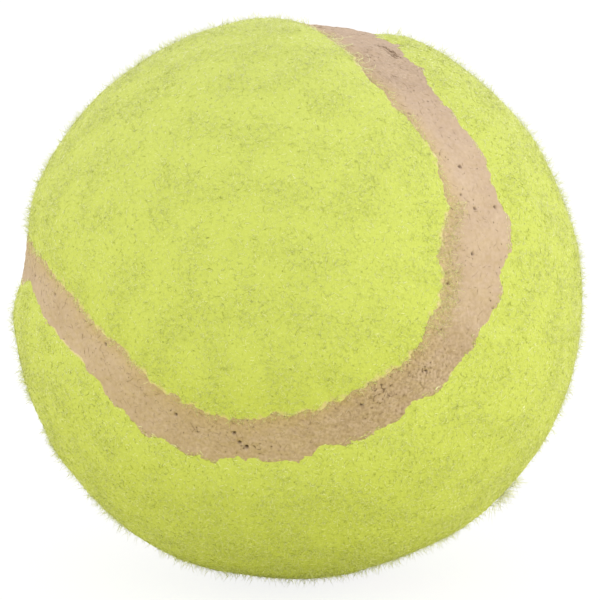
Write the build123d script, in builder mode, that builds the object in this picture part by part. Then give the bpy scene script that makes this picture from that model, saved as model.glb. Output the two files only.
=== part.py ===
"""Tennis ball: a hollow rubber core in two halves, two felt panels on it and a rubber seam between them.

Millimetres and degrees. The origin is the ball's centre, +Z is up and -Y faces the viewer.
The core's own joint lies level, at the ball's equator. The felt's seam is turned on the core to show
one panel's lobe at the upper left, with the other panel round it.
"""

import os
from math import cos, pi, sin, sqrt

from build123d import *

# Core: two moulded half shells, cemented rim to rim
CORE_DIAMETER = 60.0
CORE_WALL = 3.4
JOINT_CEMENT = 0.3
RIM_BEVEL = 0.9

# Cover: two felt panels, each on its own film of rubber solution
PANEL_CEMENT = 0.3
FELT_THICKNESS = 3.2
FELT_EDGE_ROUND = 0.9

# Seam: rubber between the panels' edges, lying under the felt's surface
SEAM_WIDTH = 6.0
SEAM_RECESS = 1.2

# How far a cutting sheet runs past the layers that it cuts, and how many spans it is made of
CUT_OVERRUN = 2.0
SHEET_SPANS = 16

# The seam's middle line is the curve that divides a ball into two equal dumbbells.
# The share sets how far it swings: 0 is a plain equator, and more swing gives narrower waists.
SEAM_SWING_SHARE = 0.24
SEAM_TURN = (-50.5, -36.5, -64.5)

# The panels are cut and laid by machine, but their edges wander. Each share is the distance from the
# seam's middle line to a panel's edge, in half seam widths, at even steps round the seam.
PANEL_A_EDGE_SHARES = (
    0.9, 0.6, 0.15, -0.6, -0.8, -0.5, 0.1, 0.6, 0.9, 1.05, 1.2, 1.1,
    0.95, 0.8, 0.9, 1.1, 1.25, 1.1, 0.95, 0.9, 1.0, 1.15, 1.05, 0.85,
    0.8, 0.95, 1.1, 1.2, 1.1, 0.85, 0.45, 0.05, -0.2, 0.0, 0.4, 0.85,
    0.85, 0.7, 0.4, 0.45, 0.9, 1.1, 1.15, 0.9, 0.95, 1.1, 0.5, 0.6,
)
PANEL_B_EDGE_SHARES = (
    1.75, 2.35, 2.85, 3.7, 3.6, 3.0, 2.1, 1.4, 1.15, 1.05, 0.85, 0.75,
    0.9, 1.1, 1.0, 0.8, 0.65, 0.6, 0.6, 0.65, 0.7, 0.8, 0.9, 1.1,
    1.2, 1.05, 0.85, 0.8, 0.95, 1.1, 1.4, 1.8, 2.0, 1.65, 1.1, 1.15,
    1.0, 1.5, 1.65, 1.25, 1.15, 0.75, 0.7, 1.1, 1.75, 2.35, 2.05, 1.75,
)

# Radii of the layers, from the inside out
core_radius = CORE_DIAMETER / 2
core_bore_radius = core_radius - CORE_WALL
felt_bed_radius = core_radius + PANEL_CEMENT
felt_radius = felt_bed_radius + FELT_THICKNESS
seam_radius = felt_radius - SEAM_RECESS

# The seam's own frame: its Z axis runs through the waists of both panels, panel A's at +Z
seam_frame = Plane(Location((0, 0, 0), SEAM_TURN))
waist_axis = Axis((0, 0, 0), seam_frame.z_dir)

# The cover's spheres have their poles in the panels' waists. Their start line runs through a lobe of panel B
# and crosses the seam once and squarely.
cover_frame = Plane((0, 0, 0), x_dir=seam_frame.x_dir + seam_frame.y_dir, z_dir=seam_frame.z_dir)
cover_turn = tuple(cover_frame.location.orientation)


def edge_points(radius, edge_shares, side):
    """Points of one panel's edge, put on a sphere of this radius. Side is 1 for panel A, -1 for panel B."""
    wide = 1 - SEAM_SWING_SHARE
    swing = SEAM_SWING_SHARE
    rise = 2 * sqrt(wide * swing)
    points = []
    for step, share in enumerate(edge_shares):
        turn = 2 * pi * step / len(edge_shares)
        middle = Vector(
            wide * cos(turn) + swing * cos(3 * turn),
            wide * sin(turn) - swing * sin(3 * turn),
            rise * sin(2 * turn),
        )
        along = Vector(
            -wide * sin(turn) - 3 * swing * sin(3 * turn),
            wide * cos(turn) - 3 * swing * cos(3 * turn),
            2 * rise * cos(2 * turn),
        )
        across = middle.cross(along).normalized()
        spread = side * share * SEAM_WIDTH / 2 / felt_radius
        points.append(seam_frame.from_local_coords(middle * cos(spread) + across * sin(spread)) * radius)
    return points


def edge_line(radius, edge_shares, side):
    """One panel's edge as a closed smooth line on a sphere of this radius."""
    with BuildLine() as line:
        Spline(*edge_points(radius, edge_shares, side), periodic=True)
    return line.edge()


def edge_sheet(edge_shares, side):
    """A sheet of straight lines, all aimed at the ball's centre, so it cuts every layer squarely."""
    inside = edge_line(core_radius - CUT_OVERRUN, edge_shares, side)
    outside = edge_line(felt_radius + CUT_OVERRUN, edge_shares, side)
    spans = []
    for span in range(SHEET_SPANS):
        start = span / SHEET_SPANS
        end = (span + 1) / SHEET_SPANS
        spans.append(Face.make_surface_from_curves(inside.trim(start, end), outside.trim(start, end)))
    return Shell(spans)


def felt_rim(panel):
    """The edges round a felt panel's outer face."""
    outer_face = panel.faces().filter_by(GeomType.SPHERE).sort_by(SortBy.AREA)[-1]
    return outer_face.edges().filter_by(GeomType.BSPLINE)


panel_a_sheet = edge_sheet(PANEL_A_EDGE_SHARES, 1)
panel_b_sheet = edge_sheet(PANEL_B_EDGE_SHARES, -1)

# Upper half of the core, bevelled inside its rim
with BuildPart() as core_half_upper:
    Sphere(core_radius)
    Sphere(core_bore_radius, mode=Mode.SUBTRACT)
    split(bisect_by=Plane.XY.offset(JOINT_CEMENT / 2), keep=Keep.TOP)
    chamfer(core_half_upper.edges().filter_by(GeomType.CIRCLE).sort_by(SortBy.RADIUS)[0], length=RIM_BEVEL)

# Lower half of the core, the upper half's mirror image
with BuildPart() as core_half_lower:
    mirror(core_half_upper.part, about=Plane.XY)

# Cement that fills what the two halves leave of the core's shell: a thin ring with a bead in the bevels
with BuildPart() as core_joint_cement:
    Sphere(core_radius)
    Sphere(core_bore_radius, mode=Mode.SUBTRACT)
    add(core_half_upper.part, mode=Mode.SUBTRACT)
    add(core_half_lower.part, mode=Mode.SUBTRACT)

# Film of rubber solution under panel A
with BuildPart() as panel_cement_a:
    Sphere(felt_bed_radius, rotation=cover_turn)
    Sphere(core_radius, rotation=cover_turn, mode=Mode.SUBTRACT)
    split(bisect_by=panel_a_sheet, keep=Keep.ALL)
    add(panel_cement_a.solids().sort_by(waist_axis)[-1], mode=Mode.REPLACE)

# Film of rubber solution under panel B
with BuildPart() as panel_cement_b:
    Sphere(felt_bed_radius, rotation=cover_turn)
    Sphere(core_radius, rotation=cover_turn, mode=Mode.SUBTRACT)
    split(bisect_by=panel_b_sheet, keep=Keep.ALL)
    add(panel_cement_b.solids().sort_by(waist_axis)[0], mode=Mode.REPLACE)

# Felt panel A, rounded over at its edge
with BuildPart() as felt_panel_a:
    Sphere(felt_radius, rotation=cover_turn)
    Sphere(felt_bed_radius, rotation=cover_turn, mode=Mode.SUBTRACT)
    split(bisect_by=panel_a_sheet, keep=Keep.ALL)
    add(felt_panel_a.solids().sort_by(waist_axis)[-1], mode=Mode.REPLACE)
    fillet(felt_rim(felt_panel_a), radius=FELT_EDGE_ROUND)

# Felt panel B, rounded over in the same way
with BuildPart() as felt_panel_b:
    Sphere(felt_radius, rotation=cover_turn)
    Sphere(felt_bed_radius, rotation=cover_turn, mode=Mode.SUBTRACT)
    split(bisect_by=panel_b_sheet, keep=Keep.ALL)
    add(felt_panel_b.solids().sort_by(waist_axis)[0], mode=Mode.REPLACE)
    fillet(felt_rim(felt_panel_b), radius=FELT_EDGE_ROUND)

# Seam rubber, the band that both panels leave free on the core
with BuildPart() as seam_rubber:
    Sphere(seam_radius, rotation=cover_turn)
    Sphere(core_radius, rotation=cover_turn, mode=Mode.SUBTRACT)
    split(bisect_by=panel_a_sheet, keep=Keep.ALL)
    add(seam_rubber.solids().sort_by(waist_axis)[0], mode=Mode.REPLACE)
    split(bisect_by=panel_b_sheet, keep=Keep.ALL)
    add(seam_rubber.solids().sort_by(waist_axis)[-1], mode=Mode.REPLACE)

os.makedirs("parts", exist_ok=True)
pieces = {
    "core_half_upper": core_half_upper,
    "core_half_lower": core_half_lower,
    "core_joint_cement": core_joint_cement,
    "panel_cement_a": panel_cement_a,
    "panel_cement_b": panel_cement_b,
    "felt_panel_a": felt_panel_a,
    "felt_panel_b": felt_panel_b,
    "seam_rubber": seam_rubber,
}
for name, piece in pieces.items():
    piece.part.label = name
    export_step(piece.part, f"parts/{name}.step")
    print(name, round(piece.part.volume), "mm3")
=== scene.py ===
# %% [markdown]
# # A tennis ball, dressed in felt
# The solids of the ball arrive as a fixed frame: a hollow core in two halves, its cement, two dumbbell-shaped
# felt panels and the rubber seam between them. This lesson gives the ball its looks. It replaces the two smooth
# felt solids with matted felt, the smooth seam with porous rubber, and then grows the nap, fibre by fibre.

# %% The frame and its sizes
import math

import bpy
import numpy as np
from mathutils import Matrix, Vector


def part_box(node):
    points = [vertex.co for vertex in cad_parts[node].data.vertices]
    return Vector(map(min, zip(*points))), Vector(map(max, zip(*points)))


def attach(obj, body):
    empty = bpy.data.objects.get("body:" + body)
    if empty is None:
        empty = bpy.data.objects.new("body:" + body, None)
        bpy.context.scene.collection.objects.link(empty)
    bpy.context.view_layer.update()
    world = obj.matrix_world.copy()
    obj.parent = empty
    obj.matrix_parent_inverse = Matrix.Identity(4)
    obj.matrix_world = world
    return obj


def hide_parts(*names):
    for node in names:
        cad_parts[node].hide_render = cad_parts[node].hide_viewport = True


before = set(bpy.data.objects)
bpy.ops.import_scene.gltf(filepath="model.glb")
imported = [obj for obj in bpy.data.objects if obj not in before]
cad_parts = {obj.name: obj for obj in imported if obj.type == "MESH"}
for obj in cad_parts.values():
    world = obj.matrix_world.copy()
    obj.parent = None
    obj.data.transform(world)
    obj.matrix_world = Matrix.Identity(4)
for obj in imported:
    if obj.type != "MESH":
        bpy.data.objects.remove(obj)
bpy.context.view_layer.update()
MM = 0.001


def reach(node):
    """How far a node reaches from the ball's centre, in millimetres."""
    return max(abs(value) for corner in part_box(node) for value in corner) / MM


felt_radius = max(reach("felt_panel_a"), reach("felt_panel_b"))
seam_radius = reach("seam_rubber")
core_radius = reach("core_half_upper")
print("felt", felt_radius, "seam", seam_radius, "core", core_radius, "mm")

# %% [markdown]
# ## The seam's path
# The cover of the ball is two equal dumbbells, so the line between them is a closed curve with four swings.
# A short formula gives it, and the same values made the solids.

# %% The middle line of the seam
SEAM_SWING_SHARE = 0.24
SEAM_ANGLES = (-50.5, -36.5, -64.5)
SEAM_STEPS = 1440


def seam_axes():
    """The seam's own axes as the columns of a matrix: three turns, each about an axis that turned with the last."""
    turns = [Matrix.Rotation(math.radians(a), 3, axis) for a, axis in zip(SEAM_ANGLES, "XYZ")]
    return np.array(turns[0] @ turns[1] @ turns[2])


def unit(vectors):
    return vectors / np.linalg.norm(vectors, axis=-1, keepdims=True)


wide = 1 - SEAM_SWING_SHARE
swing = SEAM_SWING_SHARE
rise = 2 * math.sqrt(wide * swing)
seam_turn = np.linspace(0, 2 * np.pi, SEAM_STEPS, endpoint=False)
seam_middle = np.stack([
    wide * np.cos(seam_turn) + swing * np.cos(3 * seam_turn),
    wide * np.sin(seam_turn) - swing * np.sin(3 * seam_turn),
    rise * np.sin(2 * seam_turn),
], axis=1) @ seam_axes().T
seam_along = np.stack([
    -wide * np.sin(seam_turn) - 3 * swing * np.sin(3 * seam_turn),
    wide * np.cos(seam_turn) - 3 * swing * np.cos(3 * seam_turn),
    2 * rise * np.cos(2 * seam_turn),
], axis=1) @ seam_axes().T
seam_speed = np.linalg.norm(seam_along, axis=1)
seam_along = seam_along / seam_speed[:, None]
seam_across = np.cross(seam_middle, seam_along)
print("seam length", round(float(seam_speed.mean()) * 2 * math.pi * felt_radius, 1), "mm")

# %% [markdown]
# ### Places on the cover
# Every point of the cover is described by two numbers: its turn round the seam, and its distance from the seam's
# middle line, positive towards panel A.

# %% From a place on the ball to the seam, and back
BATCH = 20_000


def seam_place(directions):
    """Turn round the seam and distance from its middle line, in millimetres, of unit directions."""
    turns = np.empty(len(directions))
    offsets = np.empty(len(directions))
    for start in range(0, len(directions), BATCH):
        part = directions[start:start + BATCH]
        near = np.argmax(part.astype(np.float32) @ seam_middle.T.astype(np.float32), axis=1)
        step = np.einsum("ij,ij->i", part, seam_along[near]) / seam_speed[near]
        turns[start:start + BATCH] = seam_turn[near] + np.clip(step, -0.01, 0.01)
        side = np.clip(np.einsum("ij,ij->i", part, seam_across[near]), -1, 1)
        offsets[start:start + BATCH] = np.arcsin(side) * felt_radius
    return turns, offsets


def seam_point(turns, offsets):
    """Unit directions of places given by their turn and their distance from the middle line, in millimetres."""
    place = np.mod(turns, 2 * np.pi) / (2 * np.pi) * SEAM_STEPS
    low = np.floor(place).astype(int) % SEAM_STEPS
    f = (place - np.floor(place))[:, None]
    middle = unit((1 - f) * seam_middle[low] + f * seam_middle[(low + 1) % SEAM_STEPS])
    across = unit((1 - f) * seam_across[low] + f * seam_across[(low + 1) % SEAM_STEPS])
    angle = (offsets / felt_radius)[:, None]
    return middle * np.cos(angle) + across * np.sin(angle)


def along_seam(turns, degrees):
    """Distance along the seam from a turn in degrees, in millimetres, near that turn."""
    pace = seam_speed[round(degrees / 360 * SEAM_STEPS) % SEAM_STEPS] * felt_radius
    return np.angle(np.exp(1j * (turns - math.radians(degrees)))) * pace


# %% [markdown]
# ## The panels' edges
# The felt blanks are stamped out, and their edges are dipped in rubber and laid by machine, so no edge runs true.
# Three things are added up: the slow wander that the solids have too, a fine raggedness, and a few listed nicks
# and swellings. The nap leans a little way over the rubber, so that is taken off.

# %% Edge lines
HALF_SEAM = 3.0
PANEL_A_EDGE_SHARES = (
    0.9, 0.6, 0.15, -0.6, -0.8, -0.5, 0.1, 0.6, 0.9, 1.05, 1.2, 1.1,
    0.95, 0.8, 0.9, 1.1, 1.25, 1.1, 0.95, 0.9, 1.0, 1.15, 1.05, 0.85,
    0.8, 0.95, 1.1, 1.2, 1.1, 0.85, 0.45, 0.05, -0.2, 0.0, 0.4, 0.85,
    0.85, 0.7, 0.4, 0.45, 0.9, 1.1, 1.15, 0.9, 0.95, 1.1, 0.5, 0.6,
)
PANEL_B_EDGE_SHARES = (
    1.75, 2.35, 2.85, 3.7, 3.6, 3.0, 2.1, 1.4, 1.15, 1.05, 0.85, 0.75,
    0.9, 1.1, 1.0, 0.8, 0.65, 0.6, 0.6, 0.65, 0.7, 0.8, 0.9, 1.1,
    1.2, 1.05, 0.85, 0.8, 0.95, 1.1, 1.4, 1.8, 2.0, 1.65, 1.1, 1.15,
    1.0, 1.5, 1.65, 1.25, 1.15, 0.75, 0.7, 1.1, 1.75, 2.35, 2.05, 1.75,
)
# Each nick: its turn round the seam in degrees, how far it moves the edge and how far it reaches, in millimetres
PANEL_A_NICKS = (
    (260, -0.4, 0.9), (270, -0.3, 1.0), (274, 0.35, 1.6), (280, -0.4, 1.0), (282, -0.4, 0.7), (289, -0.2, 4.0),
    (296, 0.3, 1.3), (303, -0.3, 1.5), (305, 0.25, 1.0), (320, -0.5, 4.5), (325, 0.35, 1.0), (327.5, -0.25, 0.8),
    (332, -0.4, 1.4), (334.5, 0.35, 1.6), (341.5, -0.75, 1.3), (346.5, 0.3, 1.0), (356.5, 0.3, 1.3), (359, -0.35, 0.8),
    (7, -0.3, 2.0), (13.5, -0.5, 2.0),
)
PANEL_B_NICKS = (
    (252, -0.9, 2.0), (267, 0.35, 2.5), (272.5, -0.25, 1.0), (274.5, 0.5, 0.8), (280.5, 0.4, 1.2), (287, 0.2, 2.0),
    (289.5, 0.85, 1.2), (299, 0.35, 0.8), (302.5, -0.9, 1.3), (306, -0.4, 1.0), (312, 0.7, 1.5), (320, 0.7, 1.5),
    (326.5, -0.95, 0.9), (328.5, 0.4, 0.8), (334, -0.85, 1.2), (338, -0.3, 2.0), (340.5, 0.3, 1.2),
    (347.5, 0.5, 0.9), (351, 0.5, 0.9), (354, -0.6, 1.0), (356.5, -0.5, 1.3), (2, 0.8, 1.6), (6, -0.3, 1.0),
    (10, 0.9, 1.0), (13, -0.9, 1.2),
)
EDGE_TABLES = {"a": (PANEL_A_EDGE_SHARES, PANEL_A_NICKS), "b": (PANEL_B_EDGE_SHARES, PANEL_B_NICKS)}
EDGE_SIDES = {"a": 1, "b": -1}
RAGGED_HEIGHTS = {"a": 0.12, "b": 0.05}
RAGGED_SEEDS = {"a": 11, "b": 12}
RAGGED_WAVES = 30
RAGGED_COUNTS = (60, 330)
OVERHANGS = {"a": 0.42, "b": 0.07}


def wander(turns, shares):
    """A smooth closed line through the shares, which stand at even steps of the turn."""
    shares = np.array(shares)
    place = np.mod(turns, 2 * np.pi) / (2 * np.pi) * len(shares)
    low = np.floor(place).astype(int)
    f = place - low
    a, b, c, d = (shares[(low + k) % len(shares)] for k in (-1, 0, 1, 2))
    return b + f * ((c - a) / 2 + f * (a - 2.5 * b + 2 * c - d / 2 + f * (1.5 * (b - c) + (d - a) / 2)))


def ragged(turns, letter):
    """Fine raggedness of a cut edge, in millimetres, with waves from 6 to 1 millimetres long."""
    rng = np.random.default_rng(RAGGED_SEEDS[letter])
    counts = rng.integers(*RAGGED_COUNTS, RAGGED_WAVES)
    phases = rng.uniform(0, 2 * np.pi, RAGGED_WAVES)
    waves = np.cos(turns[..., None] * counts + phases) * np.sqrt(RAGGED_COUNTS[0] / counts)
    return RAGGED_HEIGHTS[letter] * waves.sum(axis=-1) / math.sqrt(RAGGED_WAVES / 2)


def edge(turns, letter):
    """Distance of a panel's edge from the seam's middle line, in millimetres."""
    shares, nicks = EDGE_TABLES[letter]
    line = HALF_SEAM * wander(turns, shares) - OVERHANGS[letter] + ragged(turns, letter)
    for degrees, depth, width in nicks:
        line = line + depth * np.exp(-(along_seam(turns, degrees) / width) ** 2)
    return line


def inside(turns, offsets, letter):
    """How far inside a panel a place lies, in millimetres; negative on the seam."""
    return EDGE_SIDES[letter] * offsets - edge(turns, letter)


seam_widths = edge(seam_turn, "a") + edge(seam_turn, "b")
print("seam", round(float(seam_widths.min()), 1), "to", round(float(seam_widths.max()), 1), "mm wide")

# %% [markdown]
# ## Relief
# Felt is never even: it has soft lumps where the wool lies thicker. A sum of many faint waves in random directions
# gives such a field, the same at every run because the random numbers are seeded. At its edge a panel slopes down
# to the seam in a long soft curve, because the felt was pulled tight there. Where the ball stands, the nap is pressed.

# %% Waves that make lumps, and the felt's surface
def lumps(points, length, seed, count=28):
    """A smooth random field over points in millimetres, about -2 to 2, with lumps of this length."""
    rng = np.random.default_rng(seed)
    heading = unit(rng.normal(size=(count, 3))) * (2 * np.pi / length) * rng.uniform(0.7, 1.4, (count, 1))
    phase = rng.uniform(0, 2 * np.pi, count)
    field = np.zeros(len(points))
    for k in range(count):
        field += np.cos(points @ heading[k] + phase[k])
    return field / math.sqrt(count / 2)


def relief(points, waves):
    """A sum of lumps. Each of the waves has a height and a length in millimetres, and a seed."""
    return sum(height * lumps(points, length, seed) for height, length, seed in waves)


NAP_HEIGHT = 0.2
felt_top = felt_radius - NAP_HEIGHT
FELT_WAVES = ((0.05, 12, 21), (0.02, 4, 22), (0.012, 1.7, 23))
SHOULDERS = {"a": 6.5, "b": 6.0}
EDGE_SINK = 0.05
EDGE_DIVE = 1.3
PATCH_START = -0.8
FOOT_PLACE = (0.139, -0.206, -0.969)
FOOT_DEPTH = 0.6
FOOT_ANGLE = 0.45


def felt_surface(directions, turns, offsets, letter):
    """Radius of a panel's matted felt: it slopes down to its edge and dives under the seam's rubber there."""
    depth = inside(turns, offsets, letter)
    foot_angle = np.arccos(np.clip(directions @ np.array(FOOT_PLACE), -1, 1))
    foot = FOOT_DEPTH * np.exp(-(foot_angle / FOOT_ANGLE) ** 6)
    low = seam_radius - EDGE_SINK
    high = felt_top + relief(directions * felt_radius, FELT_WAVES) - foot
    shoulder = np.sin(np.clip(depth / SHOULDERS[letter], 0, 1) * np.pi / 2)
    return low + shoulder * (high - low) + EDGE_DIVE * np.clip(depth, PATCH_START, 0)


print("felt without its nap", round(felt_top, 2), "mm, at its edge", round(seam_radius - EDGE_SINK, 2), "mm")

# %% [markdown]
# ## Cutting a piece out of a ball
# All three pieces of the cover are patches of a ball, so all start as the same icosphere: its triangles are even
# all over, and it has no pole where they bunch up. Faces outside the patch are deleted, Solidify gives the wall,
# and the faces that need fine relief are subdivided before their points are moved in and out.

# %% The blank that the pieces are cut from
def select_faces(piece, chosen):
    """Select exactly these faces of a piece, for the next edit-mode operator."""
    bpy.context.view_layer.objects.active = piece
    bpy.context.tool_settings.mesh_select_mode = (False, False, True)
    mesh = piece.data
    mesh.vertices.foreach_set("select", np.zeros(len(mesh.vertices), dtype=bool))
    mesh.edges.foreach_set("select", np.zeros(len(mesh.edges), dtype=bool))
    mesh.polygons.foreach_set("select", chosen)


def spread(values):
    """Unit directions and lengths in millimetres of points in metres."""
    points = values.reshape(-1, 3)
    lengths = np.linalg.norm(points, axis=1)
    return points / lengths[:, None], lengths / MM


def face_centres(piece):
    centres = np.empty(len(piece.data.polygons) * 3)
    piece.data.polygons.foreach_get("center", centres)
    return spread(centres)


BLANK_SUBDIVISIONS = 7


def ball_patch(name, radius, wall, keep):
    """A closed patch of a hollow ball. keep says which unit directions belong to the patch."""
    bpy.ops.object.select_all(action="DESELECT")
    bpy.ops.mesh.primitive_ico_sphere_add(subdivisions=BLANK_SUBDIVISIONS, radius=radius * MM)
    piece = bpy.context.object
    piece.name = name
    piece.data.name = name
    directions, _ = face_centres(piece)
    select_faces(piece, ~keep(directions))
    bpy.ops.object.mode_set(mode="EDIT")
    bpy.ops.mesh.delete(type="FACE")
    bpy.ops.object.mode_set(mode="OBJECT")
    solid = piece.modifiers.new("wall", "SOLIDIFY")
    solid.thickness = wall * MM
    solid.offset = -1
    bpy.ops.object.modifier_apply(modifier=solid.name)
    return piece


def refine(piece, cuts, least_radius, chosen):
    """Subdivide the outer faces that chosen picks by their unit directions."""
    directions, lengths = face_centres(piece)
    select_faces(piece, (lengths > least_radius) & chosen(directions))
    bpy.ops.object.mode_set(mode="EDIT")
    bpy.ops.mesh.subdivide(number_cuts=cuts, smoothness=0)
    bpy.ops.mesh.select_all(action="SELECT")
    bpy.ops.mesh.quads_convert_to_tris()
    bpy.ops.object.mode_set(mode="OBJECT")
    bpy.ops.object.shade_smooth()


def shape_outside(piece, least_radius, surface):
    """Move the outer points of a piece to the surface, a radius in millimetres for each unit direction."""
    mesh = piece.data
    points = np.empty(len(mesh.vertices) * 3)
    mesh.vertices.foreach_get("co", points)
    directions, lengths = spread(points)
    outer = lengths > least_radius
    lengths[outer] = surface(directions[outer])
    mesh.vertices.foreach_set("co", (directions * lengths[:, None] * MM).ravel())
    mesh.update()
    print(piece.name, len(mesh.polygons), "triangles")
    return directions


def note(piece, name, values):
    """Keep a value for each point of a piece, for its material to read."""
    attribute = piece.data.attributes.new(name, "FLOAT", "POINT")
    attribute.data.foreach_set("value", values)


# %% [markdown]
# ## The two felt panels
# Needled wool and nylon felt, stretched over the core while its cement is wet. At its edge the felt has drunk some
# of the seam's rubber, so a stain is noted there for the material: wide and cloudy on panel A, narrow on panel B.

# %% Felt panels
FELT_CLEARANCE = 0.35
FELT_WALL = felt_top - core_radius - FELT_CLEARANCE
RIM = 1.6
RIM_CUTS = 3
CLOUD_HEIGHT = 0.35
CLOUD_LENGTH = 1.1
CLOUD_SEED = 25
STAIN_WIDTHS = {"a": 0.7, "b": 0.06}


def stain(directions, turns, offsets, letter):
    """How much rubber the felt has taken up, from 0 to 1."""
    cloud = CLOUD_HEIGHT * lumps(directions * felt_radius, CLOUD_LENGTH, CLOUD_SEED)
    return np.clip(1 - inside(turns, offsets, letter) / STAIN_WIDTHS[letter] + cloud, 0, 1)


def felt_panel(letter):
    def depth(directions):
        return inside(*seam_place(directions), letter)

    piece = ball_patch("felt_" + letter, felt_top, FELT_WALL, lambda d: depth(d) > PATCH_START)
    middle_radius = felt_top - FELT_WALL / 2
    refine(piece, RIM_CUTS, middle_radius, lambda d: depth(d) < RIM)
    directions = shape_outside(piece, middle_radius, lambda d: felt_surface(d, *seam_place(d), letter))
    note(piece, "stain", stain(directions, *seam_place(directions), letter))
    return piece


felt_pieces = {letter: felt_panel(letter) for letter in "ab"}

# %% [markdown]
# ## The seam
# Vulcanised rubber, poured pale and cured against the felt. It is finely uneven, and gas bubbles left pores: the
# big ones are modelled, and the fine ones are left to the material. Each point of the piece keeps how deep in a pore
# it lies, how far it is from panel A and how much dirt play has rubbed in there, for the material to read.

# %% Seam rubber
SEAM_CLEARANCE = 0.2
SEAM_WALL = seam_radius - core_radius - SEAM_CLEARANCE
SEAM_TUCK = 0.9
SEAM_CUTS = 2
SEAM_LOW = 0.05
SEAM_WAVES = ((0.06, 6, 31), (0.03, 2.2, 32), (0.022, 1.0, 33), (0.014, 0.6, 34))
CREASE_DEPTH = 0.05
CREASE_LENGTH = 3.2
CREASE_SEED = 35
CREASE_SHARPNESS = 12
CLIMB_HEIGHT = 0.1
CLIMB_REACH = 0.5
PORE_DEPTH = 0.4
# Each pore: its turn round the seam in degrees, its distance from the middle line and its radius, in millimetres
PORES = (
    (291.6, -0.75, 0.2), (292.4, -1.9, 0.18), (293.3, -2.35, 0.22), (284, -1.2, 0.16), (309, 1.3, 0.16),
    (319, -0.4, 0.16), (331, 1.9, 0.18), (335.7, -1.2, 0.18), (341.5, -2.35, 0.18), (341.9, -5.8, 0.17),
    (343.2, -0.5, 0.15), (347, -1.9, 0.16), (355, 1.6, 0.16), (272, 1.4, 0.18), (261, 0.3, 0.16),
    (20, -0.9, 0.22), (62, 1.1, 0.22), (97, -1.3, 0.24), (141, 0.4, 0.22), (176, -1.0, 0.22), (213, 1.4, 0.22),
)
# Each dirty stretch: its turn round the seam in degrees, its half length in millimetres and how dirty it is
DIRTY_STRETCHES = ((287, 10, 0.4), (308, 11, 0.75), (322, 7, 0.5), (3, 6, 0.5))


def on_seam(directions):
    turns, offsets = seam_place(directions)
    return (inside(turns, offsets, "a") < SEAM_TUCK) & (inside(turns, offsets, "b") < SEAM_TUCK)


def pits(turns, offsets):
    """Depth of the big pores, from 0 to 1."""
    total = np.zeros(len(turns))
    for degrees, offset, radius in PORES:
        away = along_seam(turns, degrees) ** 2 + (offsets - offset) ** 2
        total += np.exp(-(away / radius ** 2) ** 2)
    return np.clip(total, 0, 1)


def dirt_on_seam(turns):
    """How much dirt is rubbed into the rubber, from 0 to 1."""
    total = np.zeros(len(turns))
    for degrees, half_length, level in DIRTY_STRETCHES:
        total += level * np.exp(-(along_seam(turns, degrees) / half_length) ** 2)
    return np.clip(total, 0, 1)


def seam_surface(directions):
    """Radius of the rubber: swollen and creased, drawn up a little along the felt, with the big pores in it."""
    turns, offsets = seam_place(directions)
    points = directions * felt_radius
    swells = relief(points, SEAM_WAVES)
    creases = CREASE_DEPTH * np.exp(-np.abs(lumps(points, CREASE_LENGTH, CREASE_SEED)) * CREASE_SHARPNESS)
    rim = np.minimum(-inside(turns, offsets, "a"), -inside(turns, offsets, "b"))
    climb = CLIMB_HEIGHT * np.exp(-np.clip(rim, 0, None) / CLIMB_REACH)
    return seam_radius - SEAM_LOW + swells - creases + climb - PORE_DEPTH * pits(turns, offsets)


seam_piece = ball_patch("seam", seam_radius, SEAM_WALL, on_seam)
seam_waist = seam_radius - SEAM_WALL / 2
refine(seam_piece, SEAM_CUTS, seam_waist, lambda d: np.ones(len(d), dtype=bool))
seam_directions = shape_outside(seam_piece, seam_waist, seam_surface)
seam_turns, seam_offsets = seam_place(seam_directions)
note(seam_piece, "pit", pits(seam_turns, seam_offsets))
note(seam_piece, "from_a", -inside(seam_turns, seam_offsets, "a"))
note(seam_piece, "dirt", dirt_on_seam(seam_turns))

# %% [markdown]
# ## Fibres
# What makes felt look like felt is its nap: short curly fibres, most of them lying matted on the surface and some
# standing off it, so the ball's outline is soft. Hair is a render trick that a mesh file doesn't keep, so each
# fibre is a tiny closed spindle of three sides: a flat base and a low ridge. One flank of the ridge catches more
# light than the other, which makes the fibre stand out. A real fibre is about 0.03 mm thick. These are drawn up to
# 0.11 mm thick, as fibres that cling together are, because a single one is lost between the pixels.

# %% A mesh of many spindles
FIBRE_SIDES = 3
RIDGE_HEIGHT = 0.8
TINT_STRIPS = 24
LIFT_CURVE = 1.6


def spindle_faces(rings):
    """Triangles of one spindle as corner numbers: the root is 0, then the rings, then the tip."""
    faces = []
    tip = 1 + rings * FIBRE_SIDES
    for side in range(FIBRE_SIDES):
        after = (side + 1) % FIBRE_SIDES
        faces.append((0, 1 + after, 1 + side))
        for ring in range(rings - 1):
            low = 1 + ring * FIBRE_SIDES
            high = low + FIBRE_SIDES
            faces.append((low + side, low + after, high + after))
            faces.append((low + side, high + after, high + side))
        last = 1 + (rings - 1) * FIBRE_SIDES
        faces.append((last + side, last + after, tip))
    return np.array(faces)


def fibre_points(paths, thickness):
    """Corners of the spindles: the root, then a ring of three round each inner step, then the tip."""
    count, steps, _ = paths.shape
    rings = steps - 2
    heading = unit(paths[:, 2:] - paths[:, :-2])
    across = unit(np.cross(heading, unit(paths[:, 1:-1])))
    up = np.cross(across, heading)
    points = np.empty((count, 2 + rings * FIBRE_SIDES, 3))
    points[:, 0] = paths[:, 0]
    points[:, -1] = paths[:, -1]
    girth = thickness[:, None, None] / 2
    for side in range(FIBRE_SIDES):
        angle = math.pi / 2 + 2 * math.pi * side / FIBRE_SIDES
        ring = paths[:, 1:-1] + girth * (math.cos(angle) * across + RIDGE_HEIGHT * math.sin(angle) * up)
        points[:, 1 + side:-1:FIBRE_SIDES] = ring
    return points


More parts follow.
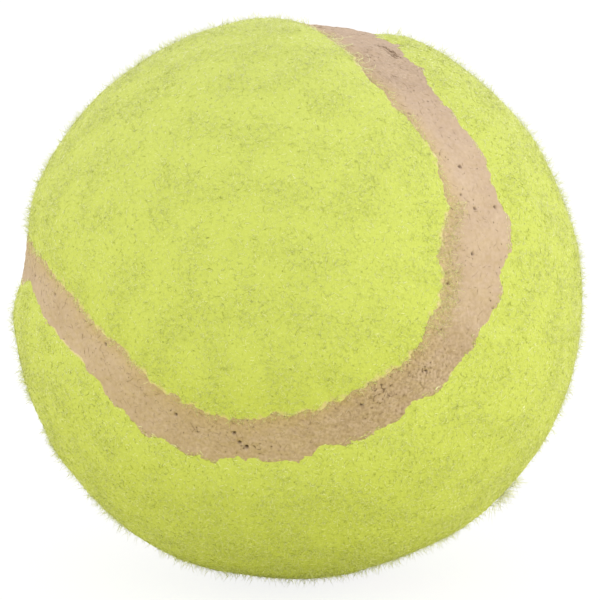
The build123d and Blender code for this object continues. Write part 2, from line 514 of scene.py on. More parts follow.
def fibre_map(faces, rings, tints):
    """Map places of all face corners. U is the fibre's tint, and V runs from its root, 0, to its tip, 1."""
    tip = 1 + rings * FIBRE_SIDES
    ring_of = np.clip((faces - 1) // FIBRE_SIDES, 0, rings - 1)
    v = np.where(faces == 0, 0.0, np.where(faces == tip, 1.0, (ring_of + 1) / (rings + 1)))
    side = np.arange(len(faces)) // (2 * rings)
    turn = (faces - 1 - side[:, None]) % FIBRE_SIDES
    ends = (faces == 0) | (faces == tip)
    u = (side[:, None] + np.where(ends, 0.5, turn)) / FIBRE_SIDES
    uv = np.empty((len(tints), faces.size, 2))
    uv[:, :, 0] = tints[:, None] * (1 - 1 / TINT_STRIPS) + u.ravel() / TINT_STRIPS
    uv[:, :, 1] = 0.02 + 0.96 * v.ravel()
    return uv


def fibre_piece(name, paths, thickness, tints):
    """A piece made of spindles along paths that are given in millimetres."""
    rings = paths.shape[1] - 2
    points = fibre_points(paths, thickness)
    faces = spindle_faces(rings)
    corners = (faces[None] + (np.arange(len(paths)) * points.shape[1])[:, None, None]).ravel()
    mesh = bpy.data.meshes.new(name)
    mesh.vertices.add(points.size // 3)
    mesh.vertices.foreach_set("co", (points * MM).ravel())
    mesh.loops.add(len(corners))
    mesh.loops.foreach_set("vertex_index", corners)
    mesh.polygons.add(len(corners) // 3)
    mesh.polygons.foreach_set("loop_start", np.arange(0, len(corners), 3))
    mesh.update(calc_edges=True)
    layer = mesh.uv_layers.new(name="OFBake")
    layer.data.foreach_set("uv", fibre_map(faces, rings, tints).ravel())
    piece = bpy.data.objects.new(name, mesh)
    bpy.context.scene.collection.objects.link(piece)
    print(name, len(paths), "fibres,", len(mesh.polygons), "triangles")
    return piece


# %% [markdown]
# ## How a fibre lies
# From its root a fibre wanders along the surface and bends as it goes. Where it runs off a panel's edge it drapes
# down on the seam's rubber.

# %% Paths
def cover_surface(directions, turns, offsets):
    """Radius of what shows at each direction: felt of either panel, or the seam's rubber where that is higher."""
    a = felt_surface(directions, turns, offsets, "a")
    b = felt_surface(directions, turns, offsets, "b")
    top = np.maximum(a, b)
    bare = on_seam(directions)
    top[bare] = np.maximum(top[bare], seam_surface(directions[bare]))
    return top


def tangents(directions):
    """Two unit vectors square to each direction and to each other."""
    side = np.where(np.abs(directions[:, 2:3]) < 0.9, (0.0, 0.0, 1.0), (1.0, 0.0, 0.0))
    first = unit(np.cross(side, directions))
    return first, np.cross(directions, first)


def bearing(directions, vectors):
    """Angle of vectors in the tangents' plane."""
    first, second = tangents(directions)
    return np.arctan2(np.einsum("ij,ij->i", vectors, second), np.einsum("ij,ij->i", vectors, first))


def seam_step(turns):
    """Number of the seam's step at each turn."""
    return np.round(np.mod(turns, 2 * np.pi) / (2 * np.pi) * SEAM_STEPS).astype(int) % SEAM_STEPS


def fibre_paths(roots, headings, lengths, bends, lifts, steps):
    """Paths in millimetres, with the turns and offsets of their points. Lifts has a start and an end height."""
    first, second = tangents(roots)
    share = np.linspace(0, 1, steps)
    angle = headings[:, None] + bends[:, None] * (share[None, :-1] + share[None, 1:] - 1)
    pace = (lengths / (steps - 1))[:, None]
    start = np.zeros((len(roots), 1))
    x = np.concatenate([start, np.cumsum(np.cos(angle) * pace, axis=1)], axis=1)
    y = np.concatenate([start, np.cumsum(np.sin(angle) * pace, axis=1)], axis=1)
    flat = roots[:, None] * felt_radius + x[..., None] * first[:, None] + y[..., None] * second[:, None]
    directions = unit(flat).reshape(-1, 3)
    turns, offsets = seam_place(directions)
    surface = cover_surface(directions, turns, offsets).reshape(len(roots), steps)
    height = lifts[:, :1] + (lifts[:, 1:] - lifts[:, :1]) * share[None] ** LIFT_CURVE
    paths = directions.reshape(len(roots), steps, 3) * (surface + height)[..., None]
    return paths, turns.reshape(len(roots), steps), offsets.reshape(len(roots), steps)


# %% [markdown]
# ## The matted nap
# Roots are spread evenly over the ball by the sunflower rule and then jittered. Near panel B's edge the fibres were
# combed along it when the blank was pressed in, so that edge stays crisp.

# %% Matted nap
NAP_FIBRES = 92_000
NAP_STEPS = 4
NAP_CHUNK = 16_500
NAP_SEED = 41
NAP_INSET = 0.05
NAP_SHORTEST = 0.25
COMBED = 0.9
LIFTED_SHARE = 0.15
STRAY_REACH = 0.12
STRAY_SHARE = 0.1
STAIN_REACH = 1.2
CLEAN_SHARE = 0.15
PALE_SHARES = {"a": 0.24, "b": 0.34}
# the darker fibres are partly a duller tone of fibre and partly painted shade, for the shadows beside fibres
DULL_AND_SHADE_SHARES = {"a": 0.08, "b": 0.24}


def sunflower(count, rng):
    """Evenly spread unit directions, jittered by about half their spacing."""
    k = np.arange(count) + 0.5
    height = 1 - 2 * k / count
    turn = np.pi * (1 + math.sqrt(5)) * k
    ring = np.sqrt(1 - height ** 2)
    points = np.stack([ring * np.cos(turn), ring * np.sin(turn), height], axis=1)
    return unit(points + rng.normal(size=points.shape) * 0.6 * math.sqrt(4 / count))


def rooted(count, rng, least_a, least_b):
    """Evenly spread roots on the felt, with their turns and offsets, and which of them are on panel A."""
    roots = sunflower(count, rng)
    turns, offsets = seam_place(roots)
    on_a = inside(turns, offsets, "a") > least_a
    on_felt = on_a | (inside(turns, offsets, "b") > least_b)
    return roots[on_felt], turns[on_felt], offsets[on_felt], on_a[on_felt]


def matted_nap():
    """Paths, thicknesses and tints of the lying fibres, and which of them are on panel A."""
    rng = np.random.default_rng(NAP_SEED)
    roots, turns, offsets, on_a = rooted(NAP_FIBRES, rng, NAP_INSET, NAP_INSET)
    count = len(roots)
    combed = ~on_a & (inside(turns, offsets, "b") < COMBED)
    along = bearing(roots, seam_along[seam_step(turns)]) + np.pi * rng.integers(0, 2, count)
    headings = np.where(combed, along + rng.normal(0, 0.5, count), rng.uniform(0, 2 * np.pi, count))
    lengths = NAP_SHORTEST + rng.gamma(2.0, 0.16, count)
    bends = rng.normal(0, 1.2, count) * np.where(combed, 0.5, 1.0)
    lifted = rng.uniform(size=count) < LIFTED_SHARE
    tip_heights = np.where(lifted, rng.gamma(2.0, 0.04, count), rng.uniform(0.0, 0.02, count))
    lifts = np.stack([rng.uniform(-0.015, 0.01, count), tip_heights], axis=1)
    paths, path_turns, path_offsets = fibre_paths(roots, headings, lengths, bends, lifts, NAP_STEPS)
    strays = inside(path_turns, path_offsets, "b").min(axis=1) < -STRAY_REACH
    keep = on_a | ~strays | (rng.uniform(size=count) < STRAY_SHARE)
    unstained = np.where(on_a, np.clip(inside(turns, offsets, "a") / STAIN_REACH, 0, 1), 1.0)
    kind = rng.uniform(size=count)
    pale = kind < np.where(on_a, PALE_SHARES["a"], PALE_SHARES["b"])
    dull_and_shade = kind > 1 - np.where(on_a, DULL_AND_SHADE_SHARES["a"], DULL_AND_SHADE_SHARES["b"])
    tints = np.where(pale, rng.uniform(0.55, 0.8, count), np.where(dull_and_shade, 0.25, rng.uniform(0.35, 0.5, count)))
    clean = rng.uniform(size=count) < CLEAN_SHARE + (1 - CLEAN_SHARE) * unstained
    tints = np.where(clean, tints, rng.uniform(0.0, 0.04, count))
    thickness = np.where(pale, rng.uniform(0.06, 0.11, count), rng.uniform(0.05, 0.09, count))
    return paths[keep], thickness[keep], tints[keep], on_a[keep]


nap_pieces = {"a": [], "b": []}


def plant(name, paths, thickness, tints, on_a):
    """Make the fibres of each panel into pieces that are small enough to handle."""
    for letter in "ab":
        chosen = np.flatnonzero(on_a == (letter == "a"))
        for number, start in enumerate(range(0, len(chosen), NAP_CHUNK), 1):
            part = chosen[start:start + NAP_CHUNK]
            piece = fibre_piece(f"{name}_{letter}_{number}", paths[part], thickness[part], tints[part])
            nap_pieces[letter].append(piece)


plant("nap", *matted_nap())

# %% [markdown]
# ## Loose hairs
# Some fibres have worked free. They stand off the ball, so they show against the background, in some places more
# than in others. Low on the right, play has pulled out a whole tuft.

# %% Loose hairs
HAIR_COUNT = 92_000
HAIR_STEPS = 3
HAIR_SEED = 43
HAIR_INSETS = {"a": 0.3, "b": 0.8}
CROWD_LENGTH = 6
CROWD_SEED = 46
HAIR_REACH = 1.3
TUFT_HAIRS = 150
TUFT_SPREAD = 0.03
TUFT_PLACE = (0.73, -0.252, -0.643)


def loose_hairs():
    """Paths, thicknesses and tints of the hairs that stand off the felt, and which of them are on panel A."""
    rng = np.random.default_rng(HAIR_SEED)
    roots, _, _, on_a = rooted(HAIR_COUNT, rng, HAIR_INSETS["a"], HAIR_INSETS["b"])
    crowded = lumps(roots * felt_radius, CROWD_LENGTH, CROWD_SEED) + rng.normal(0, 0.7, len(roots)) > 0.1
    tuft = unit(np.array(TUFT_PLACE) + rng.normal(0, TUFT_SPREAD, (TUFT_HAIRS, 3)))
    roots = np.concatenate([roots[crowded], tuft])
    on_a = np.concatenate([on_a[crowded], np.zeros(TUFT_HAIRS, dtype=bool)])
    count = len(roots)
    lengths = rng.uniform(0.4, 1.4, count)
    heights = np.clip(0.1 + rng.gamma(1.5, 0.33, count), 0, HAIR_REACH)
    lengths[-TUFT_HAIRS:] = rng.uniform(1.5, 3.0, TUFT_HAIRS)
    heights[-TUFT_HAIRS:] = rng.uniform(0.5, 2.2, TUFT_HAIRS)
    bends = rng.normal(0, 1.6, count)
    lifts = np.stack([np.zeros(count), heights], axis=1)
    paths, _, _ = fibre_paths(roots, rng.uniform(0, 2 * np.pi, count), lengths, bends, lifts, HAIR_STEPS)
    tints = np.clip(rng.normal(0.6, 0.1, count), 0.4, 1)
    tints[-TUFT_HAIRS:] = rng.uniform(0.8, 1.0, TUFT_HAIRS)
    return paths, rng.uniform(0.038, 0.056, count), tints, on_a


plant("hairs", *loose_hairs())

# %% [markdown]
# ## The fringe of panel A
# Panel A's worn edge has let go of fibres, which lie across the rubber in all directions and are stained by it.

# %% Fringe
FRINGE_COUNT = 3400
WORN_STRETCH = (324, 342)
WORN_COUNT = 600
FRINGE_STEPS = 5
FRINGE_SEED = 44
SOAKED_SHARE = 0.4
WORN_SOAKED_SHARE = 0.75


def edge_fringe():
    """Paths, thicknesses and tints of the fibres that lie over panel A's edge."""
    rng = np.random.default_rng(FRINGE_SEED)
    count = FRINGE_COUNT + WORN_COUNT
    turns = rng.uniform(0, 2 * np.pi, count)
    turns[FRINGE_COUNT:] = np.radians(rng.uniform(*WORN_STRETCH, WORN_COUNT))
    spread_out = rng.uniform(-0.15, 0.7, count)
    spread_out[FRINGE_COUNT:] = rng.uniform(-1.8, 0.3, WORN_COUNT)
    roots = seam_point(turns, edge(turns, "a") + spread_out)
    headings = bearing(roots, -seam_across[seam_step(turns)]) + rng.normal(0, 1.1, count)
    lengths = rng.uniform(0.25, 1.0, count)
    lengths[FRINGE_COUNT:] = rng.uniform(0.7, 2.0, WORN_COUNT)
    bends = rng.normal(0, 1.5, count)
    lifts = np.stack([np.zeros(count), rng.gamma(2.0, 0.012, count)], axis=1)
    paths, _, _ = fibre_paths(roots, headings, lengths, bends, lifts, FRINGE_STEPS)
    soaked_shares = np.where(np.arange(count) < FRINGE_COUNT, SOAKED_SHARE, WORN_SOAKED_SHARE)
    soaked = rng.uniform(size=count) < soaked_shares
    tints = np.where(soaked, rng.uniform(0.0, 0.04, count), rng.uniform(0.45, 0.8, count))
    return paths, rng.uniform(0.03, 0.05, count), tints, np.ones(count, dtype=bool)


plant("fringe", *edge_fringe())

# %% [markdown]
# ## Long curls
# Near the top, a few long fibres have come out of panel A's edge and curl over the rubber. They are the same
# spindles, with more steps so that they bend smoothly.

# %% Long curls
CURL_STRETCH = (3, 14)
CURL_SEED = 47
CURL_COUNT = 24
CURL_STEPS = 10


def long_curls():
    """Paths, thicknesses and tints of the long fibres that curl over the rubber in one stretch of panel A's edge."""
    rng = np.random.default_rng(CURL_SEED)
    turns = np.radians(rng.uniform(*CURL_STRETCH, CURL_COUNT))
    roots = seam_point(turns, edge(turns, "a") + rng.uniform(-0.3, 0.5, CURL_COUNT))
    headings = bearing(roots, -seam_across[seam_step(turns)]) + rng.normal(0, 0.9, CURL_COUNT)
    lengths = rng.uniform(1.5, 3.8, CURL_COUNT)
    bends = rng.normal(0, 2.2, CURL_COUNT)
    lifts = np.stack([np.zeros(CURL_COUNT), rng.uniform(0.05, 0.4, CURL_COUNT)], axis=1)
    paths, _, _ = fibre_paths(roots, headings, lengths, bends, lifts, CURL_STEPS)
    tints = rng.uniform(0.55, 0.9, CURL_COUNT)
    return paths, rng.uniform(0.04, 0.055, CURL_COUNT), tints, np.ones(CURL_COUNT, dtype=bool)


plant("curls", *long_curls())

# %% [markdown]
# ## Lint in the seam
# Short fibres got into the rubber while it was wet. They lie in it all over, the colour of the rubber or darker.
# Near the top, beside panel B, the rubber is scuffed, and dirt has filled the scratches.

# %% Lint
LINT_COUNT = 3000
LINT_STEPS = 4
SCUFF_COUNT = 60
SCUFF_STRETCH = (5, 8.5)
SCUFF_OFFSETS = (-5.8, -4.6)
LINT_SEED = 45
LINT_GAP = 0.4
DARK_LINT_SHARE = 0.45


def seam_lint():
    """Paths, thicknesses and tints of the fibres that are pressed into the rubber."""
    rng = np.random.default_rng(LINT_SEED)
    turns = rng.uniform(0, 2 * np.pi, LINT_COUNT)
    low, high = -edge(turns, "b") + LINT_GAP, edge(turns, "a") - LINT_GAP / 2
    offsets = low + (high - low) * rng.uniform(0, 1, LINT_COUNT) ** 0.8
    lengths = rng.uniform(0.3, 1.5, LINT_COUNT)
    lifts = np.stack([np.zeros(LINT_COUNT), rng.uniform(0.0, 0.05, LINT_COUNT)], axis=1)
    headings = rng.uniform(0, 2 * np.pi, LINT_COUNT)
    tints = np.where(rng.uniform(size=LINT_COUNT) < DARK_LINT_SHARE, 0.0, 0.75) + rng.uniform(0, 0.25, LINT_COUNT)
    scuff = slice(0, SCUFF_COUNT)
    turns[scuff] = np.radians(rng.uniform(*SCUFF_STRETCH, SCUFF_COUNT))
    offsets[scuff] = rng.uniform(*SCUFF_OFFSETS, SCUFF_COUNT)
    headings[scuff] = rng.normal(0, 0.35, SCUFF_COUNT)
    tints[scuff] = 0.0
    low = -edge(turns, "b") + LINT_GAP
    roots = seam_point(turns, offsets)
    headings[scuff] += bearing(roots, seam_along[seam_step(turns)])[scuff]
    paths, _, path_offsets = fibre_paths(roots, headings, lengths, rng.normal(0, 0.9, LINT_COUNT), lifts, LINT_STEPS)
    keep = path_offsets.min(axis=1) > low - 0.3
    return paths[keep], rng.uniform(0.03, 0.05, LINT_COUNT)[keep], tints[keep]


lint_piece = fibre_piece("seam_lint", *seam_lint())

# %% [markdown]
# ## Materials
# Every colour below is written as sRGB hex and turned to linear by one function. One more function adds a node,
# sets its values and links its inputs. Pattern sizes are given in millimetres.

# %% Colour and node helpers
def linear(hex_colour):
    """A hex colour as linear red, green, blue and alpha."""
    values = [int(hex_colour[k:k + 2], 16) / 255 for k in (0, 2, 4)]
    return [v / 12.92 if v <= 0.04045 else ((v + 0.055) / 1.055) ** 2.4 for v in values] + [1.0]


def per_mm(size):
    """The scale of a pattern whose features are this many millimetres apart, on coordinates in metres."""
    return 1 / (size * MM)


def add_node(tree, kind, inputs=None, **settings):
    """Add a node with its settings. Each of the inputs gets a value, or the output that it is linked to."""
    node = tree.nodes.new(kind)
    for key, value in settings.items():
        setattr(node, key, value)
    for key, value in (inputs or {}).items():
        if isinstance(value, bpy.types.NodeSocket):
            tree.links.new(value, node.inputs[key])
        else:
            node.inputs[key].default_value = value
    return node


def new_material(name, values):
    """A material whose Principled shader has these values."""
    material = bpy.data.materials.new(name)
    material.use_nodes = True
    shader = material.node_tree.nodes["Principled BSDF"]
    for key, value in values.items():
        shader.inputs[key].default_value = value
    print("material", name)
    return material, material.node_tree, shader


# A Mix node that mixes colours keeps its factor and its two colours at these places
FACTOR, FIRST, SECOND, MIXED = 0, 6, 7, 2
STAINED = "E2D0A2"


def coated(tree, colour, coats):
    """A colour with coats laid over it. Each coat has its amount and its hex colour."""
    for amount, coat in coats:
        colour = add_node(tree, "ShaderNodeMix", {
            FACTOR: amount, FIRST: colour, SECOND: linear(coat),
        }, data_type="RGBA").outputs[MIXED]
    return colour


# %% [markdown]
# ### Felt under the nap
# Needled wool and nylon, dyed optic yellow. Between the fibres that are modelled lie many finer ones, so the felt
# is a tangle of thin ridges with painted shade in the hollows between them, on broad faint patches where the dye
# took differently, with a few dark specks of dirt.
# Light scatters in it, so it has no gloss at all, only a soft sheen at grazing angles.

# %% Felt
CLUMP_SIZE = 0.32
CLUMP_HEIGHT = 0.14


def clumped(tree, place):
    """Normals of felt that lies in clumps. The fibres on it follow the same clumps."""
    clumps = add_node(tree, "ShaderNodeTexNoise", {"Vector": place, "Scale": per_mm(CLUMP_SIZE), "Detail": 2.0})
    bump = add_node(tree, "ShaderNodeBump", {"Height": clumps.outputs["Fac"], "Distance": CLUMP_HEIGHT * MM})
    return bump.outputs["Normal"]


def needled_felt():
    material, tree, shader = new_material("needled_felt", {
        "Roughness": 0.95, "Specular IOR Level": 0.15, "Sheen Weight": 0.3, "Sheen Roughness": 0.6,
        "Sheen Tint": linear("F2F5B0"),
    })
    place = add_node(tree, "ShaderNodeTexCoord").outputs["Object"]
    patches = add_node(tree, "ShaderNodeTexNoise", {"Vector": place, "Scale": per_mm(11), "Detail": 3.0})
    tangle = add_node(tree, "ShaderNodeTexNoise", {
        "Vector": place, "Scale": per_mm(0.35), "Detail": 2.0, "Roughness": 0.6, "Distortion": 0.6,
    }, noise_type="RIDGED_MULTIFRACTAL")
    dirt = add_node(tree, "ShaderNodeTexNoise", {"Vector": place, "Scale": per_mm(0.5), "Detail": 1.0})
    wool = coated(tree, linear("E2EA8A"), [(patches.outputs["Fac"], "EAF194")])
    # painted shade: the hollows between the tangle's ridges are darker
    ridge = add_node(tree, "ShaderNodeMapRange", {"Value": tangle.outputs["Fac"], "From Min": 0.1, "From Max": 1.5})
    hollow_shaded_felt = add_node(tree, "ShaderNodeMix", {
        FACTOR: ridge.outputs["Result"], FIRST: linear("CAD468"), SECOND: wool,
    }, data_type="RGBA")
    speck = add_node(tree, "ShaderNodeMapRange", {"Value": dirt.outputs["Fac"], "From Min": 0.75, "From Max": 0.81})
    taken = add_node(tree, "ShaderNodeAttribute", attribute_name="stain")
    coats = [(speck.outputs["Result"], "9AA044"), (taken.outputs["Fac"], STAINED)]
    stained = coated(tree, hollow_shaded_felt.outputs[MIXED], coats)
    bump = add_node(tree, "ShaderNodeBump", {
        "Height": tangle.outputs["Fac"], "Strength": 0.3, "Distance": 0.02 * MM, "Normal": clumped(tree, place),
    })
    tree.links.new(stained, shader.inputs["Base Color"])
    tree.links.new(bump.outputs["Normal"], shader.inputs["Normal"])
    return material


felt_ground = needled_felt()

# %% [markdown]
# ### Dyed fibre
# The same wool and nylon, as single fibres. Each fibre has its own tint, which the map's U holds: stained by rubber
# at 0, darker at 0.25 (partly its own tone, partly painted shade), bright at 0.4, pale at 0.7, bleached at 1. Its
# root sits deeper in the felt, so it gets painted shade there and is a little darker.

# %% Fibre
def dyed_fibre():
    material, tree, shader = new_material("dyed_fibre", {
        "Roughness": 0.8, "Specular IOR Level": 0.2, "Sheen Weight": 0.2, "Sheen Roughness": 0.5,
        "Sheen Tint": linear("F2F5B0"),
    })
    place = add_node(tree, "ShaderNodeUVMap", uv_map="OFBake").outputs["UV"]
    split = add_node(tree, "ShaderNodeSeparateXYZ", {"Vector": place})
    tint = split.outputs["X"]
    # tint 0.25 is the darker fibre: partly its own duller tone, partly painted shade
    dyed = linear("B4BC4E")
    for start, end, colour in ((0.25, 0.4, "E3EB8C"), (0.4, 0.7, "FAFCC2"), (0.7, 1.0, "FDFDE4")):
        reached = add_node(tree, "ShaderNodeMapRange", {"Value": tint, "From Min": start, "From Max": end})
        dyed = coated(tree, dyed, [(reached.outputs["Result"], colour)])
    # painted shade: each fibre is darker towards its root, where it sits deeper in the felt
    depth = add_node(tree, "ShaderNodeMapRange", {"Value": split.outputs["Y"], "To Min": 0.86, "To Max": 1.0})
    shaded = add_node(tree, "ShaderNodeMix", {
        FACTOR: depth.outputs["Result"], FIRST: linear("C9CE5C"), SECOND: dyed,
    }, data_type="RGBA")
    cleanness = add_node(tree, "ShaderNodeMapRange", {"Value": tint, "From Min": 0.0, "From Max": 0.25})
    stained = add_node(tree, "ShaderNodeMix", {
        FACTOR: cleanness.outputs["Result"], FIRST: linear(STAINED), SECOND: shaded.outputs[MIXED],
    }, data_type="RGBA")
    ball_place = add_node(tree, "ShaderNodeTexCoord").outputs["Object"]
    tree.links.new(stained.outputs[MIXED], shader.inputs["Base Color"])
    tree.links.new(clumped(tree, ball_place), shader.inputs["Normal"])
    return material


fibre = dyed_fibre()

# %% [markdown]
# ### Seam rubber
# Natural rubber with chalk filler, cured without colour, so it is a matt pinkish tan, and more ochre towards panel A,
# where it took up dye. Gas that left it while it cured made pores of a tenth of a millimetre or two, with painted
# shade inside them.

# %% Seam
def cured_seam_rubber():
    material, tree, shader = new_material("cured_seam_rubber", {"Roughness": 0.75, "Specular IOR Level": 0.3})
    place = add_node(tree, "ShaderNodeTexCoord").outputs["Object"]
    pit = add_node(tree, "ShaderNodeAttribute", attribute_name="pit").outputs["Fac"]
    from_a = add_node(tree, "ShaderNodeAttribute", attribute_name="from_a").outputs["Fac"]
    dirt = add_node(tree, "ShaderNodeAttribute", attribute_name="dirt").outputs["Fac"]
    clouds = add_node(tree, "ShaderNodeTexNoise", {"Vector": place, "Scale": per_mm(4), "Detail": 5.0})
    grit = add_node(tree, "ShaderNodeTexNoise", {"Vector": place, "Scale": per_mm(0.45), "Detail": 3.0})
    dyed = add_node(tree, "ShaderNodeMapRange", {"Value": from_a, "From Min": 2.2, "From Max": -0.2, "To Max": 0.75})
    mottle = add_node(tree, "ShaderNodeMapRange", {
        "Value": grit.outputs["Fac"], "From Min": 0.3, "From Max": 0.7, "To Min": 0.0, "To Max": 0.35,
    })
    # fine pores are painted shade at the peaks of a fine noise, and they crowd where a broad noise is high
    fine = add_node(tree, "ShaderNodeTexNoise", {"Vector": place, "Scale": per_mm(0.32), "Detail": 1.5})
    crowd = add_node(tree, "ShaderNodeTexNoise", {"Vector": place, "Scale": per_mm(3.5), "Detail": 2.0})
    level = add_node(tree, "ShaderNodeMath", {0: crowd.outputs["Fac"], 1: 0.3, 2: fine.outputs["Fac"]},
                     operation="MULTIPLY_ADD")
    hole = add_node(tree, "ShaderNodeMapRange", {
        "Value": level.outputs["Value"], "From Min": 0.86, "From Max": 0.92, "To Max": 0.75,
    })
    rubbed = add_node(tree, "ShaderNodeMapRange", {
        "Value": fine.outputs["Fac"], "From Min": 0.35, "From Max": 0.65, "To Min": 0.1, "To Max": 0.7,
    })
    held = add_node(tree, "ShaderNodeMath", {0: rubbed.outputs["Result"], 1: dirt}, operation="MULTIPLY")
    dark = add_node(tree, "ShaderNodeMath", {0: hole.outputs["Result"], 1: pit}, operation="MAXIMUM")
    # from the bare rubber up: clouds of paler tan, ochre dye, grit, rubbed-in dirt and painted shade in the pores
    porous = coated(tree, linear("BCA28C"), [
        (clouds.outputs["Fac"], "DAC2AC"), (dyed.outputs["Result"], "CEB48A"), (mottle.outputs["Result"], "AB8F6C"),
        (held.outputs["Value"], "8A7052"), (dark.outputs["Value"], "4E3A26"),
    ])
    height = add_node(tree, "ShaderNodeMath", {0: grit.outputs["Fac"], 1: hole.outputs["Result"]}, operation="SUBTRACT")
    bump = add_node(tree, "ShaderNodeBump", {"Height": height.outputs["Value"], "Strength": 0.6, "Distance": 0.06 * MM})
    tree.links.new(porous, shader.inputs["Base Color"])
    tree.links.new(bump.outputs["Normal"], shader.inputs["Normal"])
    return material


seam_finish = cured_seam_rubber()

# %% [markdown]
# ### Pressed lint
# Fibres that are coated with rubber: some pale, some dark with dirt. The map's U holds which.

# %% Lint finish
def pressed_lint():
    material, tree, shader = new_material("pressed_lint", {"Roughness": 0.8, "Specular IOR Level": 0.2})
    place = add_node(tree, "ShaderNodeUVMap", uv_map="OFBake").outputs["UV"]
    split = add_node(tree, "ShaderNodeSeparateXYZ", {"Vector": place})
    colour = coated(tree, linear("7E6146"), [(split.outputs["X"], "F4E2CA")])
    tree.links.new(colour, shader.inputs["Base Color"])
    return material


lint_finish = pressed_lint()

# %% [markdown]
# ### What is inside
# The core and the cements never show on a whole ball, but a cut one shows them, so they get plain finishes.

# %% Core and cements
def plain_rubber(name, dark, light, grain):
    """Dull moulded or cured rubber: two close colours in clouds of this size, in millimetres."""
    material, tree, shader = new_material(name, {"Roughness": 0.8, "Specular IOR Level": 0.3})
    place = add_node(tree, "ShaderNodeTexCoord").outputs["Object"]
    clouds = add_node(tree, "ShaderNodeTexNoise", {"Vector": place, "Scale": per_mm(grain), "Detail": 3.0})
    colour = coated(tree, linear(dark), [(clouds.outputs["Fac"], light)])
    tree.links.new(colour, shader.inputs["Base Color"])
    return material


core_rubber = plain_rubber("moulded_core_rubber", "5C5C5E", "6E6D6C", 6)
core_cement = plain_rubber("cured_core_cement", "A38A6B", "B89C78", 3)
panel_cement = plain_rubber("cured_rubber_solution", "C2A985", "D3BC98", 4)
node_finishes = {
    "core_half_upper": core_rubber, "core_half_lower": core_rubber, "core_joint_cement": core_cement,
    "panel_cement_a": panel_cement, "panel_cement_b": panel_cement,
    "felt_panel_a": felt_ground, "felt_panel_b": felt_ground, "seam_rubber": seam_finish,
}
for name, finish in node_finishes.items():
    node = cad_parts[name]
    if not node.material_slots:
        node.data.materials.append(None)
    for slot in node.material_slots:
        slot.link = "OBJECT"
        slot.material = finish

# %% [markdown]
# ## Joining the pieces to the frame
# Each new piece gets its finish and rides on the ball's one body, and the smooth solids that it replaces are hidden.

# %% Finishes and frame
def dress(piece, finish):
    piece.data.materials.append(finish)
    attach(piece, "root")


dress(seam_piece, seam_finish)
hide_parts("seam_rubber")
dress(lint_piece, lint_finish)
for letter, piece in felt_pieces.items():
    dress(piece, felt_ground)
    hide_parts(f"felt_panel_{letter}")
    for nap in nap_pieces[letter]:
        dress(nap, fibre)
    print(piece.name, "with", len(nap_pieces[letter]), "pieces of nap")

# %% [markdown]
# ## Floor, light and camera
# A white floor under a white sky, and soft lamps low on either side and in front, the right one strongest. The floor
# shows white to the camera, but keeps the ball's shadow. The light it sends back up to the ball is yellowish: a
# painted reflection of the ball's own yellow.

# %% Floor and sky
FLOOR_SIZE = 6.0
SKY_LIGHT = 0.92


def shown(tree):
    """1 for the rays that show a surface, straight or mirrored, and 0 for those that only light something."""
    rays = add_node(tree, "ShaderNodeLightPath").outputs
    seen = add_node(tree, "ShaderNodeMath", {0: rays["Is Camera Ray"], 1: rays["Is Glossy Ray"]}, operation="MAXIMUM")
    through = {0: seen.outputs["Value"], 1: rays["Is Transmission Ray"]}
    return add_node(tree, "ShaderNodeMath", through, operation="MAXIMUM").outputs["Value"]


def white_floor():
    material = bpy.data.materials.new("white_floor")
    material.use_nodes = True
    tree = material.node_tree
    tree.nodes.clear()
    # painted reflection: to the light that bounces back up, the floor is yellowish, as if lit by the ball
    yellow_bounce = add_node(tree, "ShaderNodeBsdfDiffuse", {"Color": linear("E8E69C")})
    faint = add_node(tree, "ShaderNodeBsdfDiffuse", {"Color": linear("7A7A7A")})
    glow = add_node(tree, "ShaderNodeEmission", {"Color": linear("FFFFFF"), "Strength": 0.86})
    white = add_node(tree, "ShaderNodeAddShader", {0: faint.outputs["BSDF"], 1: glow.outputs["Emission"]})
    both = add_node(tree, "ShaderNodeMixShader", {0: shown(tree), 1: yellow_bounce.outputs["BSDF"], 2: white.outputs["Shader"]})
    add_node(tree, "ShaderNodeOutputMaterial", {"Surface": both.outputs["Shader"]})
    return material


bpy.ops.object.select_all(action="DESELECT")
bpy.ops.mesh.primitive_plane_add(size=FLOOR_SIZE)
floor = bpy.context.object
floor.name = "floor"
floor.location.z = -felt_radius * MM
floor.data.materials.append(white_floor())

world = bpy.data.worlds.new("white_sky")
bpy.context.scene.world = world
world.use_nodes = True
sky = world.node_tree
sky.nodes.clear()
sky_level = add_node(sky, "ShaderNodeMapRange", {"Value": shown(sky), "To Min": SKY_LIGHT, "To Max": 1.0})
sky_white = add_node(sky, "ShaderNodeBackground", {"Color": linear("FFFFFF"), "Strength": sky_level.outputs["Result"]})
add_node(sky, "ShaderNodeOutputWorld", {"Surface": sky_white.outputs["Background"]})
print("floor at", round(floor.location.z / MM, 2), "mm")

# %% [markdown]
# ### Lamps
# Three large square lamps, so no shadow has a hard edge. Each one faces the ball's centre.

# %% Lamps
LAMP_DISTANCE = 0.9
LAMP_SIZE = 0.6


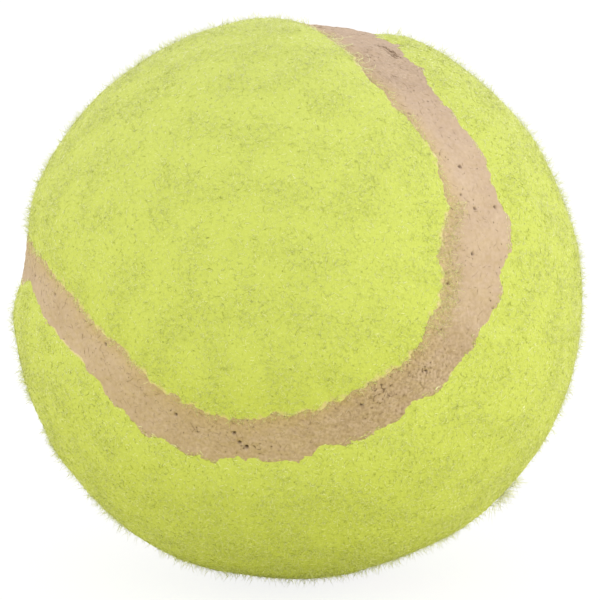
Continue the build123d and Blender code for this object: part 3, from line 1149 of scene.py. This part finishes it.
def soft_lamp(name, azimuth, elevation, power):
    """A square soft lamp that faces the ball. Azimuth 0 is the camera's side, and 90 is on the right."""
    a, e = math.radians(azimuth), math.radians(elevation)
    place = Vector((math.sin(a) * math.cos(e), -math.cos(a) * math.cos(e), math.sin(e)))
    light = bpy.data.lights.new(name, "AREA")
    light.size = LAMP_SIZE
    light.energy = power
    lamp = bpy.data.objects.new(name, light)
    lamp.location = place * LAMP_DISTANCE
    lamp.rotation_mode = "QUATERNION"
    lamp.rotation_quaternion = place.to_track_quat("Z", "Y")
    bpy.context.scene.collection.objects.link(lamp)
    print(name, power, "W")


soft_lamp("right_lamp", azimuth=80, elevation=15, power=2.45)
soft_lamp("left_lamp", azimuth=-85, elevation=12, power=1.68)
soft_lamp("front_lamp", azimuth=8, elevation=30, power=1.45)

# %% [markdown]
# ### Camera
# The lens is worked out from how large the ball shows in the picture: its outline is where lines from the camera
# just touch it, so the angle to it has the radius over the distance as its sine.

# %% Camera
CAMERA_ELEVATION = 12.0
CAMERA_DISTANCE = 0.67
BALL_SHIFT_RIGHT = -0.3
BALL_SHIFT_UP = 0.03
IMAGE_SIZE = 600
BALL_PIXELS = 286
SENSOR = 36.0

tilt = math.radians(CAMERA_ELEVATION)
camera_back = Vector((0, -math.cos(tilt), math.sin(tilt)))
camera_up = Vector((0, math.sin(tilt), math.cos(tilt)))
aim = (Vector((1, 0, 0)) * -BALL_SHIFT_RIGHT + camera_up * -BALL_SHIFT_UP) * MM
outline_angle = math.asin(felt_radius * MM / CAMERA_DISTANCE)
lens_data = bpy.data.cameras.new("camera")
lens_data.sensor_width = SENSOR
lens_data.lens = SENSOR * BALL_PIXELS / IMAGE_SIZE / math.tan(outline_angle)
camera = bpy.data.objects.new("camera", lens_data)
camera.location = aim + camera_back * CAMERA_DISTANCE
camera.rotation_mode = "QUATERNION"
camera.rotation_quaternion = camera_back.to_track_quat("Z", "Y")
bpy.context.scene.collection.objects.link(camera)
bpy.context.scene.camera = camera
bpy.context.scene.view_settings.view_transform = "Standard"
print("lens", round(lens_data.lens, 1), "mm")
